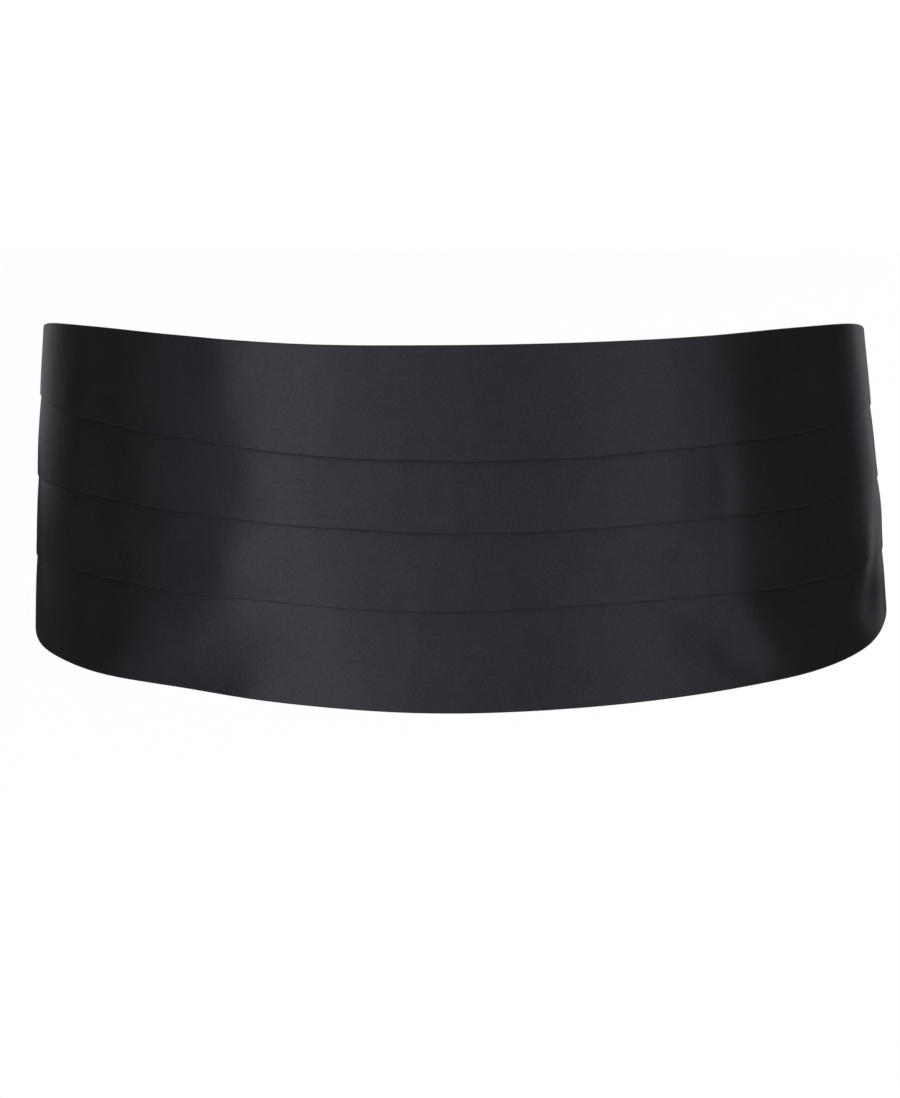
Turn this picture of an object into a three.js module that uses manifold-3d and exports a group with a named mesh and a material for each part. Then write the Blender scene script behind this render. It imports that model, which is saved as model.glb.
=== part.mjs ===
// A pleated evening cummerbund, fastened into a ring as it sits round a waist.
//
// One piece of satin makes the front. It is laid in three knife pleats whose
// folded edges face down, so four bands show. The panel is tallest at the front
// and tapers to both ends behind the sides. A webbing strap is sewn inside each
// end. The straps meet at the centre of the back in a hook slide and a ring.
//
// Units are millimetres. +Z is up, the front faces -Y and +X is to the right of
// someone who faces the front. The origin is on the waist's axis, at the height
// of the middle pleat's folded edge at the front. The ring is hollow and open
// above and below.
import * as THREE from "three";
import { mergeVertices } from "three/addons/utils/BufferGeometryUtils.js";
import Module from "manifold-3d";

// ---- the waist that the ring goes round (inner face of the panel at Z = 0) ----
const WAIST_HALF_WIDTH = 155.7; // along X
const WAIST_HALF_DEPTH = 109.8; // along Y
const WAIST_ROUNDNESS = 2.2; // exponent of the superellipse: 2 is an ellipse
const FLARE = 0.061; // mm out for each mm down, as a waist widens to the hip
const FLARE_CURVE = 0.00014; // the flare eases off towards the hip, per mm
const FLARE_ENDS_AT = 330; // beyond this girth position the flare fades out
const FLARE_GONE_AT = 385;
const LEAN = -0.027; // the ring sits a little off plumb, mm along X for each mm up

// ---- the pleated panel ----
// Heights in mm at girth positions in mm from the centre of the front.
// fold1 to fold3 are the folded lower edges of the three pleats.
const PANEL = [
  { girth: -335, top: 31.5, fold1: 22.5, fold2: 4.0, fold3: -14.5, bottom: -24.0 },
  { girth: -295, top: 39.5, fold1: 27.5, fold2: 4.2, fold3: -19.0, bottom: -33.5 },
  { girth: -255, top: 48.5, fold1: 31.5, fold2: 4.5, fold3: -22.8, bottom: -43.5 },
  { girth: -215, top: 57.5, fold1: 34.4, fold2: 4.6, fold3: -25.3, bottom: -52.1 },
  { girth: -180, top: 64.3, fold1: 35.0, fold2: 5.0, fold3: -24.9, bottom: -56.9 },
  { girth: -140, top: 67.4, fold1: 33.2, fold2: 5.6, fold3: -23.6, bottom: -59.0 },
  { girth: -100, top: 67.6, fold1: 30.7, fold2: 3.9, fold3: -25.5, bottom: -61.4 },
  { girth: -50, top: 66.7, fold1: 26.8, fold2: 0.8, fold3: -27.9, bottom: -64.7 },
  { girth: 0, top: 67.2, fold1: 25.4, fold2: -0.5, fold3: -29.0, bottom: -65.9 },
  { girth: 50, top: 67.9, fold1: 26.7, fold2: 0.7, fold3: -27.1, bottom: -63.9 },
  { girth: 100, top: 68.6, fold1: 29.0, fold2: 2.7, fold3: -25.1, bottom: -60.4 },
  { girth: 140, top: 68.8, fold1: 30.7, fold2: 4.2, fold3: -24.2, bottom: -56.9 },
  { girth: 180, top: 66.2, fold1: 32.0, fold2: 5.0, fold3: -23.2, bottom: -52.4 },
  { girth: 215, top: 60.0, fold1: 32.0, fold2: 4.8, fold3: -22.0, bottom: -45.5 },
  { girth: 255, top: 49.5, fold1: 30.5, fold2: 4.5, fold3: -20.5, bottom: -39.0 },
  { girth: 295, top: 39.5, fold1: 27.0, fold2: 4.2, fold3: -18.0, bottom: -32.0 },
  { girth: 335, top: 31.5, fold1: 22.5, fold2: 4.0, fold3: -14.5, bottom: -24.0 },
];
const PANEL_STEPS = 76; // sections along the girth
const SINGLE = 1.7; // outer face where a band comes out from under a pleat
const OVER_PLEAT = 2.6; // outer face over a pleat's folded edge
const EDGE_ROLL = 0.45; // how far the folded edge is rounded
const HEM = 2.1; // outer face at the turned top and bottom edges
const UNDERLAP = 13; // how far each pleat reaches up behind its folded edge
const INNER_STEP = 0.4; // the inner face steps out this much above each underlap

// ---- the straps ----
const STRAP_WIDTH = 34;
const STRAP_THICK = 1.0;
const STRAP_MID_Z = 4.0;
const STRAP_UNDER_PANEL = 12; // length sewn inside each end of the panel
const STRAP_OFFSET = -0.8; // centre of the strap, inside the panel's inner face
const SEAM_GAP = 0.3;
const LAYER = STRAP_THICK + SEAM_GAP; // from one layer's centre to the next
const TAIL = 62; // free length folded back behind the slide
const SEWN_BACK = 24; // length folded back and sewn at the ring
const FLAT_BACK = 30; // the back is flat within this of its centre

// ---- the fastener, at the centre of the back ----
const FASTENER_Y = 0.8; // its middle plane, out from the waist
const SLIDE = { from: 2, to: 26, half: 21, thick: 1.6, bar: 3, slotHalf: 18.3 };
const SLIDE_BAR_MID = 14; // centre of the middle bar
const RING = { from: -15.1, to: -3.9, half: 20.5, thick: 2.2, bar: 2.2, slotHalf: 17.8 };
const RING_TURN = 2.2; // radius of the strap's turn round the ring's bar
const HOOK = { half: 7, thick: 1.2, bend: 2.5, tip: 2.4 };
const CORNER = 2.4;

// ------------------------------------------------------------------ the waist
// The superellipse is walked once, so that a girth position in mm gives a point.
const WALK = (() => {
  const rows = [{ s: 0, x: 0, y: -WAIST_HALF_DEPTH }];
  const n = 6000;
  const power = 2 / WAIST_ROUNDNESS;
  for (let i = 1; i <= n; i++) {
    const a = (Math.PI * i) / n;
    const c = Math.cos(a);
    const x = WAIST_HALF_WIDTH * Math.pow(Math.sin(a) < 0 ? 0 : Math.sin(a), power);
    const y = -WAIST_HALF_DEPTH * Math.sign(c) * Math.pow(Math.abs(c), power);
    const last = rows[rows.length - 1];
    rows.push({ s: last.s + Math.hypot(x - last.x, y - last.y), x, y });
  }
  return rows;
})();
const HALF_GIRTH = WALK[WALK.length - 1].s;

function onWaist(s) {
  const side = s < 0 ? -1 : 1;
  const d = Math.min(Math.abs(s), HALF_GIRTH);
  let lo = 0,
    hi = WALK.length - 1;
  while (hi - lo > 1) {
    const mid = (lo + hi) >> 1;
    if (WALK[mid].s <= d) lo = mid;
    else hi = mid;
  }
  const a = WALK[lo],
    b = WALK[hi];
  const t = (d - a.s) / (b.s - a.s);
  return { x: side * (a.x + (b.x - a.x) * t), y: a.y + (b.y - a.y) * t };
}

const smooth = (t) => {
  const u = Math.min(1, Math.max(0, t));
  return u * u * (3 - 2 * u);
};

// A point at girth position s, height z and distance out from the inner face.
function wrap(s, z, out) {
  const h = 1.5;
  const p = onWaist(s);
  const back = Math.abs(s) > HALF_GIRTH - h;
  const p0 = onWaist(back ? s - Math.sign(s) * h : s - h);
  const p1 = onWaist(back ? s : s + h);
  let tx = (p1.x - p0.x) * (back && s < 0 ? -1 : 1),
    ty = (p1.y - p0.y) * (back && s < 0 ? -1 : 1);
  const len = Math.hypot(tx, ty);
  tx /= len;
  ty /= len;
  if (Math.abs(s) > HALF_GIRTH - 2 * h) {
    tx = -1;
    ty = 0;
  }
  const fade = 1 - smooth((Math.abs(s) - FLARE_ENDS_AT) / (FLARE_GONE_AT - FLARE_ENDS_AT));
  const flare = -(FLARE * z + FLARE_CURVE * z * z) * fade;
  const fromBack = HALF_GIRTH - Math.abs(s);
  const level = fromBack < FLAT_BACK ? onWaist(HALF_GIRTH - FLAT_BACK).y - p.y : 0;
  const d = out + flare;
  return new THREE.Vector3(p.x + ty * d + LEAN * z * fade, p.y - tx * d + level, z);
}

// ------------------------------------------------------------- the panel's rows
// A smooth curve through one column of the PANEL table.
function column(name) {
  const xs = PANEL.map((r) => r.girth),
    ys = PANEL.map((r) => r[name]);
  const m = xs.map((_, i) => {
    const a = Math.max(0, i - 1),
      b = Math.min(xs.length - 1, i + 1);
    return (ys[b] - ys[a]) / (xs[b] - xs[a]);
  });
  return (s) => {
    let i = 0;
    while (i < xs.length - 2 && s > xs[i + 1]) i++;
    const h = xs[i + 1] - xs[i],
      t = (s - xs[i]) / h;
    const t2 = t * t,
      t3 = t2 * t;
    return (
      (2 * t3 - 3 * t2 + 1) * ys[i] +
      (t3 - 2 * t2 + t) * h * m[i] +
      (-2 * t3 + 3 * t2) * ys[i + 1] +
      (t3 - t2) * h * m[i + 1]
    );
  };
}
const AT = Object.fromEntries(
  ["top", "fold1", "fold2", "fold3", "bottom"].map((n) => [n, column(n)]),
);

// The panel's closed section at girth position s, as {z, out}, from the top edge
// down the outer face and back up the inner face.
function panelSection(s) {
  const top = AT.top(s),
    bottom = AT.bottom(s);
  const folds = [AT.fold1(s), AT.fold2(s), AT.fold3(s)];
  const pts = [];
  const starts = [top, ...folds];
  pts.push({ z: top, out: HEM * 0.35 });
  pts.push({ z: top - 0.05, out: HEM * 0.7 });
  pts.push({ z: top - EDGE_ROLL, out: HEM });
  folds.forEach((fold, k) => {
    const start = starts[k];
    const begin = k === 0 ? HEM : SINGLE;
    const run = start - fold;
    if (k > 0) pts.push({ z: start, out: SINGLE });
    pts.push({ z: start - run * 0.34, out: begin + (OVER_PLEAT - begin) * 0.25 });
    pts.push({ z: start - run * 0.68, out: begin + (OVER_PLEAT - begin) * 0.68 });
    pts.push({ z: fold + EDGE_ROLL, out: OVER_PLEAT });
    pts.push({ z: fold, out: OVER_PLEAT - EDGE_ROLL });
  });
  const run = folds[2] - bottom;
  pts.push({ z: folds[2], out: SINGLE });
  pts.push({ z: folds[2] - run * 0.35, out: OVER_PLEAT - 0.15 });
  pts.push({ z: folds[2] - run * 0.75, out: OVER_PLEAT });
  pts.push({ z: bottom + EDGE_ROLL, out: HEM });
  pts.push({ z: bottom + 0.05, out: HEM * 0.7 });
  pts.push({ z: bottom, out: HEM * 0.35 });
  pts.push({ z: bottom + EDGE_ROLL, out: 0 });
  [2, 1, 0].forEach((k) => {
    const upper = k === 0 ? top : folds[k - 1];
    const lap = Math.min(UNDERLAP, (upper - folds[k]) * 0.55);
    if (k < 2) pts.push({ z: folds[k], out: 0 });
    pts.push({ z: folds[k] + lap, out: 0 });
    pts.push({ z: folds[k] + lap + 0.3, out: INNER_STEP });
  });
  pts.push({ z: top - EDGE_ROLL, out: 0 });
  return pts;
}

// A closed solid through rings of equal length, capped with fans of triangles.
function loft(rings, capTriangles) {
  const n = rings[0].length;
  const position = rings.flat().flatMap((p) => [p.x, p.y, p.z]);
  const index = [];
  for (let i = 0; i + 1 < rings.length; i++)
    for (let j = 0; j < n; j++) {
      const a = i * n + j,
        b = i * n + ((j + 1) % n),
        c = a + n,
        d = b + n;
      index.push(a, c, b, b, c, d);
    }
  const last = (rings.length - 1) * n;
  // The caps wind the same way round as the walls meet them.
  const onward = capTriangles.some((t) => t.some((v, k) => t[(k + 1) % 3] === (v + 1) % n));
  capTriangles.forEach((t) => {
    const [a, b, c] = onward ? t : [t[0], t[2], t[1]];
    index.push(a, b, c);
    index.push(last + a, last + c, last + b);
  });
  const g = new THREE.BufferGeometry();
  g.setAttribute("position", new THREE.Float32BufferAttribute(position, 3));
  g.setIndex(index);
  return g;
}

// Turns a geometry's faces outwards if they point inwards.
function facingOut(g) {
  const p = g.attributes.position,
    ix = g.index.array;
  const a = new THREE.Vector3(),
    b = new THREE.Vector3(),
    c = new THREE.Vector3();
  let volume = 0;
  for (let i = 0; i < ix.length; i += 3) {
    a.fromBufferAttribute(p, ix[i]);
    b.fromBufferAttribute(p, ix[i + 1]);
    c.fromBufferAttribute(p, ix[i + 2]);
    volume += a.dot(b.cross(c));
  }
  if (volume < 0)
    for (let i = 0; i < ix.length; i += 3) [ix[i + 1], ix[i + 2]] = [ix[i + 2], ix[i + 1]];
  g.computeVertexNormals();
  return g;
}

function triangulate(outline) {
  const flat = outline.map((p) => new THREE.Vector2(p[0], p[1]));
  return THREE.ShapeUtils.triangulateShape(flat, []);
}

function pleatedPanel() {
  const from = PANEL[0].girth,
    to = PANEL[PANEL.length - 1].girth;
  const rings = [];
  for (let i = 0; i <= PANEL_STEPS; i++) {
    const s = from + ((to - from) * i) / PANEL_STEPS;
    rings.push(panelSection(s).map((q) => wrap(s, q.z, q.out)));
  }
  const end = panelSection(from).map((q) => [q.out, q.z]);
  return facingOut(loft(rings, triangulate(end)));
}

// ------------------------------------------------------------------ the straps
// A path of [x, out] points, x from the centre of the back, thickened to a ribbon.
function ribbon(path, thick) {
  const left = [],
    right = [];
  path.forEach((p, i) => {
    const a = path[Math.max(0, i - 1)],
      b = path[Math.min(path.length - 1, i + 1)];
    const dx = b[0] - a[0],
      dy = b[1] - a[1],
      len = Math.hypot(dx, dy);
    const nx = (-dy / len) * (thick / 2),
      ny = (dx / len) * (thick / 2);
    left.push([p[0] + nx, p[1] + ny]);
    right.push([p[0] - nx, p[1] - ny]);
  });
  return [...left, ...right.reverse()];
}

// Points on an arc of [x, out], angles in degrees from +X towards outwards.
function arc(cx, cy, r, from, to, steps) {
  return Array.from({ length: steps + 1 }, (_, i) => {
    const a = ((from + ((to - from) * i) / steps) * Math.PI) / 180;
    return [cx + r * Math.cos(a), cy + r * Math.sin(a)];
  });
}

// Evenly spaced points from one x to another at one distance out.
function run(x0, x1, out, step) {
  const n = Math.max(1, Math.round(Math.abs(x1 - x0) / step));
  return Array.from({ length: n + 1 }, (_, i) => [x0 + ((x1 - x0) * i) / n, out]);
}

// A ribbon outline in [x, out] stood up to the strap's width on the waist.
function strapSolid(outline, side) {
  const zs = [STRAP_MID_Z - STRAP_WIDTH / 2, STRAP_MID_Z + STRAP_WIDTH / 2];
  const rings = zs.map((z) =>
    outline.map(([x, out]) => wrap(side * (HALF_GIRTH - side * x), z, out)),
  );
  const n = outline.length,
    cap = [];
  for (let i = 0; i + 1 < n / 2; i++) {
    const j = n - 1 - i;
    cap.push([i, i + 1, j], [i + 1, j - 1, j]);
  }
  return facingOut(loft(rings, cap));
}

// Where a strap starts, measured from the centre of the back.
const STRAP_START = HALF_GIRTH - (PANEL[PANEL.length - 1].girth - STRAP_UNDER_PANEL);

function slideStrap() {
  const y0 = FASTENER_Y,
    pass = SLIDE.thick / 2 + SEAM_GAP + STRAP_THICK / 2; // clear of a bar
  const under = STRAP_OFFSET,
    back = STRAP_OFFSET - LAYER;
  const turn = (y0 + pass - back) / 2; // the turn round the middle bar
  const path = [
    ...run(STRAP_START, SLIDE.to + 2, under, 8),
    [SLIDE.to - SLIDE.bar - 1.3, under + 0.1],
    [SLIDE.to - SLIDE.bar - 3.2, y0 - 0.2],
    [SLIDE_BAR_MID + 3.4, y0 + pass - 0.35],
    [SLIDE_BAR_MID + 1.6, y0 + pass],
    ...arc(SLIDE_BAR_MID - 1.2, y0 + pass - turn, turn, 90, 270, 8),
    ...run(SLIDE_BAR_MID + 4, SLIDE_BAR_MID + TAIL, back, 8),
  ];
  return strapSolid(ribbon(path, STRAP_THICK), 1);
}

function ringStrap() {
  const y0 = FASTENER_Y;
  const bar = -RING.from - RING.bar / 2; // centre of the bar that the strap goes round
  const over = STRAP_OFFSET + LAYER - 0.2,
    back = over - LAYER;
  const path = [
    ...run(STRAP_START, bar + SEWN_BACK + 14, STRAP_OFFSET, 8),
    [bar + SEWN_BACK + 5, STRAP_OFFSET + (over - STRAP_OFFSET) * 0.75],
    ...run(bar + SEWN_BACK, bar + 7, over, 6),
    [bar + 4.2, over + 0.7],
    [bar + 2, y0 + RING_TURN - 0.3],
    ...arc(bar, y0, RING_TURN, 90, 270, 8),
    [bar + 2.2, y0 - RING_TURN + 0.1],
    [bar + 5, back],
    ...run(bar + 8, bar + SEWN_BACK, back, 6),
  ].map(([x, out]) => [-x, out]);
  return strapSolid(ribbon(path, STRAP_THICK), -1);
}

// --------------------------------------------------------------- the fastener
const wasm = await Module();
wasm.setup();

function solid(geometry) {
  const g = geometry.clone();
  Object.keys(g.attributes).forEach((n) => {
    if (n !== "position") g.deleteAttribute(n);
  });
  const m = mergeVertices(g, 1e-4);
  return new wasm.Manifold(
    new wasm.Mesh({
      numProp: 3,
      vertProperties: new Float32Array(m.attributes.position.array),
      triVerts: new Uint32Array(m.index.array),
    }),
  );
}

function geometryOf(made) {
  const m = made.getMesh();
  const g = new THREE.BufferGeometry();
  const v = new Float32Array(m.numVert * 3);
  for (let i = 0; i < m.numVert; i++)
    v.set(m.vertProperties.subarray(i * m.numProp, i * m.numProp + 3), i * 3);
  g.setAttribute("position", new THREE.BufferAttribute(v, 3));
  g.setIndex(new THREE.BufferAttribute(m.triVerts, 1));
  g.computeVertexNormals();
  return g;
}

function roundedRect(path, x0, x1, half, r) {
  path.moveTo(x0 + r, -half);
  path.lineTo(x1 - r, -half);
  path.absarc(x1 - r, -half + r, r, -Math.PI / 2, 0, false);
  path.lineTo(x1, half - r);
  path.absarc(x1 - r, half - r, r, 0, Math.PI / 2, false);
  path.lineTo(x0 + r, half);
  path.absarc(x0 + r, half - r, r, Math.PI / 2, Math.PI, false);
  path.lineTo(x0, -half + r);
  path.absarc(x0 + r, -half + r, r, Math.PI, 1.5 * Math.PI, false);
  return path;
}

// A flat frame in the X-Z plane, with slots, its middle plane at Y = 0.
function frame(spec, slots) {
  const shape = roundedRect(new THREE.Shape(), spec.from, spec.to, spec.half, CORNER);
  slots.forEach(([a, b]) =>
    shape.holes.push(roundedRect(new THREE.Path(), a, b, spec.slotHalf, 0.8)),
  );
  const g = new THREE.ExtrudeGeometry(shape, {
    depth: spec.thick - 0.6,
    bevelEnabled: true,
    bevelThickness: 0.3,
    bevelSize: 0.3,
    bevelOffset: -0.3,
    bevelSegments: 1,
    curveSegments: 4,
  });
  g.translate(0, 0, -(spec.thick - 0.6) / 2);
  g.rotateX(Math.PI / 2);
  return g;
}

function hookSlide() {
  const body = solid(
    frame(SLIDE, [
      [SLIDE.from + SLIDE.bar, SLIDE_BAR_MID - SLIDE.bar / 2],
      [SLIDE_BAR_MID + SLIDE.bar / 2, SLIDE.to - SLIDE.bar],
    ]),
  );
  const barX = RING.to - RING.bar / 2; // the ring's bar inside the hook
  const line = [
    [SLIDE.from + 2.2, 0],
    [SLIDE.from - 0.6, 0],
    [SLIDE.from - 1.6, 0.7],
    [SLIDE.from - 2.8, HOOK.bend - 0.4],
    [SLIDE.from - 4.0, HOOK.bend],
    ...arc(barX, 0, HOOK.bend, 90, 270, 10),
    [barX + HOOK.tip, -HOOK.bend + 0.35],
  ];
  const outline = ribbon(line, HOOK.thick).map(([x, y]) => new THREE.Vector2(x, y));
  const tongue = new THREE.ExtrudeGeometry(new THREE.Shape(outline), {
    depth: HOOK.half * 2,
    bevelEnabled: false,
  });
  tongue.translate(0, 0, -HOOK.half);
  return geometryOf(body.add(solid(tongue)));
}

function ring() {
  return frame(RING, [[RING.from + RING.bar, RING.to - RING.bar]]);
}

// ------------------------------------------------------------------- materials
const satin = new THREE.MeshStandardMaterial({ color: 0x18171c, roughness: 0.42, metalness: 0 });
const webbing = new THREE.MeshStandardMaterial({ color: 0x121214, roughness: 0.85, metalness: 0 });
const metal = new THREE.MeshStandardMaterial({ color: 0x2b2b2e, roughness: 0.3, metalness: 1 });

function named(name, geometry, material) {
  const mesh = new THREE.Mesh(geometry, material);
  mesh.name = name;
  return mesh;
}

const cummerbund = new THREE.Group();
cummerbund.add(named("pleated_front", pleatedPanel(), satin));
cummerbund.add(named("slide_strap", slideStrap(), webbing));
cummerbund.add(named("ring_strap", ringStrap(), webbing));

const fastener = new THREE.Group();
fastener.position.set(0, wrap(HALF_GIRTH, STRAP_MID_Z, FASTENER_Y).y, STRAP_MID_Z);
fastener.add(named("hook_slide", hookSlide(), metal));
fastener.add(named("ring", ring(), metal));
cummerbund.add(fastener);

export default cummerbund;
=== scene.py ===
import math

import bmesh
import bpy
import numpy as np
from mathutils import Matrix, Vector


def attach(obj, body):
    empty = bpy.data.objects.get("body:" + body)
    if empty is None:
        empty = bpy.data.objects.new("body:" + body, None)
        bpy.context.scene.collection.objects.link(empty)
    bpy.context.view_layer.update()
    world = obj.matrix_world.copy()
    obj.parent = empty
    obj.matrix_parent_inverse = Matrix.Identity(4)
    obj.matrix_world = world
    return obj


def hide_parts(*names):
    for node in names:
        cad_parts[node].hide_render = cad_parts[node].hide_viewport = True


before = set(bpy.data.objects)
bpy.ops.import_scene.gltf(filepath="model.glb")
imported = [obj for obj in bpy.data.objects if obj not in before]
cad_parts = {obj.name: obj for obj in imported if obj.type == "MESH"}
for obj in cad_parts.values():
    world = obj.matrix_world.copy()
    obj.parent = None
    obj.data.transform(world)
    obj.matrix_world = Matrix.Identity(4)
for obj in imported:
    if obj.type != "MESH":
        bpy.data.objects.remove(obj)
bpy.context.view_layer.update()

MM = 0.001

# =====================================================================
# The waist and the panel's table, in mm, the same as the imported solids.
# =====================================================================
HALF_W, HALF_D, ROUND = 155.7, 109.8, 2.2
FLARE, FLARE_CURVE, FLARE_ENDS, FLARE_GONE = 0.061, 0.00014, 330.0, 385.0
LEAN = -0.027
FLAT_BACK = 30.0

PANEL = [
    # girth   top    fold1  fold2  fold3  bottom
    (-335.0, 31.5, 22.5, 4.0, -14.5, -24.0),
    (-295.0, 39.5, 27.5, 4.2, -19.0, -33.5),
    (-255.0, 48.5, 31.5, 4.5, -22.8, -43.5),
    (-215.0, 57.5, 34.4, 4.6, -25.3, -52.1),
    (-180.0, 64.3, 35.0, 5.0, -24.9, -56.9),
    (-140.0, 67.4, 33.2, 5.6, -23.6, -59.0),
    (-100.0, 67.6, 30.7, 3.9, -25.5, -61.4),
    (-50.0, 66.7, 26.8, 0.8, -27.9, -64.7),
    (0.0, 67.2, 25.4, -0.5, -29.0, -65.9),
    (50.0, 67.9, 26.7, 0.7, -27.1, -63.9),
    (100.0, 68.6, 29.0, 2.7, -25.1, -60.4),
    (140.0, 68.8, 30.7, 4.2, -24.2, -56.9),
    (180.0, 66.2, 32.0, 5.0, -23.2, -52.4),
    (215.0, 60.0, 32.0, 4.8, -22.0, -45.5),
    (255.0, 49.5, 30.5, 4.5, -20.5, -39.0),
    (295.0, 39.5, 27.0, 4.2, -18.0, -32.0),
    (335.0, 31.5, 22.5, 4.0, -14.5, -24.0),
]
COLUMNS = {"top": 1, "fold1": 2, "fold2": 3, "fold3": 4, "bottom": 5}
PANEL_END = 335.0

# The cloth as folded, in mm.
CLOTH = 0.28  # room for each layer of the satin with its stiffening
PLY = 0.24  # thickness of the cloth itself
FULL = 2.6 - CLOTH / 2  # middle of the cloth over a folded edge
EDGE = 2.1 - CLOTH / 2  # middle of the cloth at the turned top and bottom edges
FOOT = FULL - 0.1  # middle of the cloth at the bottom edge
SECOND = FULL - 0.60  # the layer behind a folded edge
THIRD = SECOND - 0.50  # the layer that comes out below as the next band
TURN = 0.52  # between the two layers of a turned edge
TIGHT = 0.56  # how much closer the layers lie round the sides, where the folds are pulled flat
DIP = 0.20  # how quickly a layer comes forward just below the fold over it
UNDERLAP = 13.0
HEM = 14.0
PRESS = 1.25  # how far the panel's ends are pressed in, on to the straps
GIRTH_STEPS = 350


def waist_walk():
    n = 6000
    a = np.pi * np.arange(n + 1) / n
    c = np.cos(a)
    x = HALF_W * np.clip(np.sin(a), 0, None) ** (2 / ROUND)
    y = -HALF_D * np.sign(c) * np.abs(c) ** (2 / ROUND)
    s = np.concatenate([[0], np.cumsum(np.hypot(np.diff(x), np.diff(y)))])
    return s, x, y


WALK_S, WALK_X, WALK_Y = waist_walk()
HALF_GIRTH = float(WALK_S[-1])


def on_waist(s):
    d = np.minimum(np.abs(s), HALF_GIRTH)
    return np.where(s < 0, -1, 1) * np.interp(d, WALK_S, WALK_X), np.interp(d, WALK_S, WALK_Y)


def smooth(t):
    u = np.clip(t, 0, 1)
    return u * u * (3 - 2 * u)


def wrap(s, z, out):
    """Points in metres at girth positions s, heights z and distances out from the panel's inner face."""
    s, z, out = np.broadcast_arrays(*(np.asarray(v, dtype=float) for v in (s, z, out)))
    h = 1.5
    x, y = on_waist(s)
    back = np.abs(s) > HALF_GIRTH - h
    sg = np.where(s < 0, -1, 1)
    x0, y0 = on_waist(np.where(back, s - sg * h, s - h))
    x1, y1 = on_waist(np.where(back, s, s + h))
    flip = np.where(back & (s < 0), -1, 1)
    tx, ty = (x1 - x0) * flip, (y1 - y0) * flip
    ln = np.hypot(tx, ty)
    tx, ty = tx / ln, ty / ln
    centre = np.abs(s) > HALF_GIRTH - 2 * h
    tx, ty = np.where(centre, -1, tx), np.where(centre, 0, ty)
    fade = 1 - smooth((np.abs(s) - FLARE_ENDS) / (FLARE_GONE - FLARE_ENDS))
    flare = -(FLARE * z + FLARE_CURVE * z * z) * fade
    level_y = float(on_waist(np.array(HALF_GIRTH - FLAT_BACK))[1])
    level = np.where(HALF_GIRTH - np.abs(s) < FLAT_BACK, level_y - y, 0)
    d = out + flare
    return np.stack([x + ty * d + LEAN * z * fade, y - tx * d + level, z], -1) * MM


XS = np.array([r[0] for r in PANEL])


def column(name):
    ys = np.array([r[COLUMNS[name]] for r in PANEL])
    n = len(XS)
    m = np.array([
        (ys[min(n - 1, i + 1)] - ys[max(0, i - 1)]) / (XS[min(n - 1, i + 1)] - XS[max(0, i - 1)])
        for i in range(n)
    ])

    def at(s):
        i = np.clip(np.searchsorted(XS, s, side="left") - 1, 0, n - 2)
        h = XS[i + 1] - XS[i]
        t = (s - XS[i]) / h
        t2, t3 = t * t, t * t * t
        return ((2 * t3 - 3 * t2 + 1) * ys[i] + (t3 - 2 * t2 + t) * h * m[i]
                + (-2 * t3 + 3 * t2) * ys[i + 1] + (t3 - t2) * h * m[i + 1])

    return at


AT = {n: column(n) for n in COLUMNS}

# ------------------------------------------------ soft creases, placed one by one
# Each is a soft trough (negative depth) or ridge (positive) of all the panel's
# layers together, in mm. lean is how far it slants, mm of girth for each mm down.
CREASES = [
    # girth  height length width  depth  lean
    # the bottom edge bulges on the wearer's right and flattens towards the front
    (-136.0, -62.0, 22.0, 25.0, 2.7, -0.7),
    (-94.0, -62.0, 22.0, 25.0, -2.2, -0.7),
    (-53.0, -58.0, 27.0, 25.0, -1.9, 0.0),
    (-58.0, -26.0, 15.0, 12.0, -0.35, 0.2),
    (-62.0, 18.0, 15.0, 11.0, 0.45, 0.0),
    (-81.0, 60.0, 12.0, 22.0, 0.6, 0.0),
    (-78.0, -14.0, 15.0, 11.0, 1.1, 0.0),
    (-150.0, 30.0, 18.0, 16.0, 0.5, 0.3),
    (-160.0, -24.0, 16.0, 12.0, -0.7, -0.2),
    # flatter stretch of the third band, and the pulled place below it
    (70.0, -24.0, 24.0, 13.0, -0.85, 0.0),
    (88.0, -14.0, 14.0, 11.0, -0.7, 0.0),
    (101.0, -43.0, 11.5, 12.0, -1.35, 0.9),
    (138.0, -56.0, 20.0, 18.0, 1.3, 0.0),
    (84.0, 58.0, 14.0, 12.0, 0.5, 0.2),
    (88.0, 13.0, 8.0, 13.0, 0.5, 0.0),
    (103.5, 13.0, 4.5, 13.0, -0.26, 0.0),
    # the short slanting crease where the side turns away, and the flat place under it
    (185.5, -28.0, 7.5, 13.0, -0.78, -0.47),
    (178.5, -21.0, 5.5, 7.0, 0.28, -0.3),
    (194.0, -11.0, 10.0, 8.0, -0.42, 0.0),
    (181.0, -40.0, 17.0, 9.0, -1.6, 0.0),
    # round the back
    (215.0, -6.0, 12.0, 12.0, 0.6, 0.2),
    (235.0, 30.0, 16.0, 15.0, -0.8, -0.15),
    (262.0, -20.0, 20.0, 14.0, 0.9, 0.25),
    (288.0, 12.0, 11.0, 15.0, -0.6, 0.1),
    (-214.0, 12.0, 13.0, 11.0, 0.5, -0.2),
    (-232.0, -30.0, 15.0, 10.0, 0.8, -0.3),
    (-252.0, 20.0, 18.0, 14.0, -0.9, 0.2),
    (-284.0, -8.0, 13.0, 15.0, 0.6, -0.15),
]

# Slow, slight unevenness all round: depth, wavelengths along the girth and up
# the height, in mm, and phase.
WAVES = [
    # depth  girth  height phase
    (0.055, 117.0, 310.0, 0.4),
    (0.040, 71.0, -190.0, 2.0),
    (0.028, 43.0, 160.0, 4.1),
    (0.018, 27.0, -95.0, 1.1),
    (0.012, 19.0, 70.0, 5.2),
    (0.008, 13.5, -42.0, 0.2),
]


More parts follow.
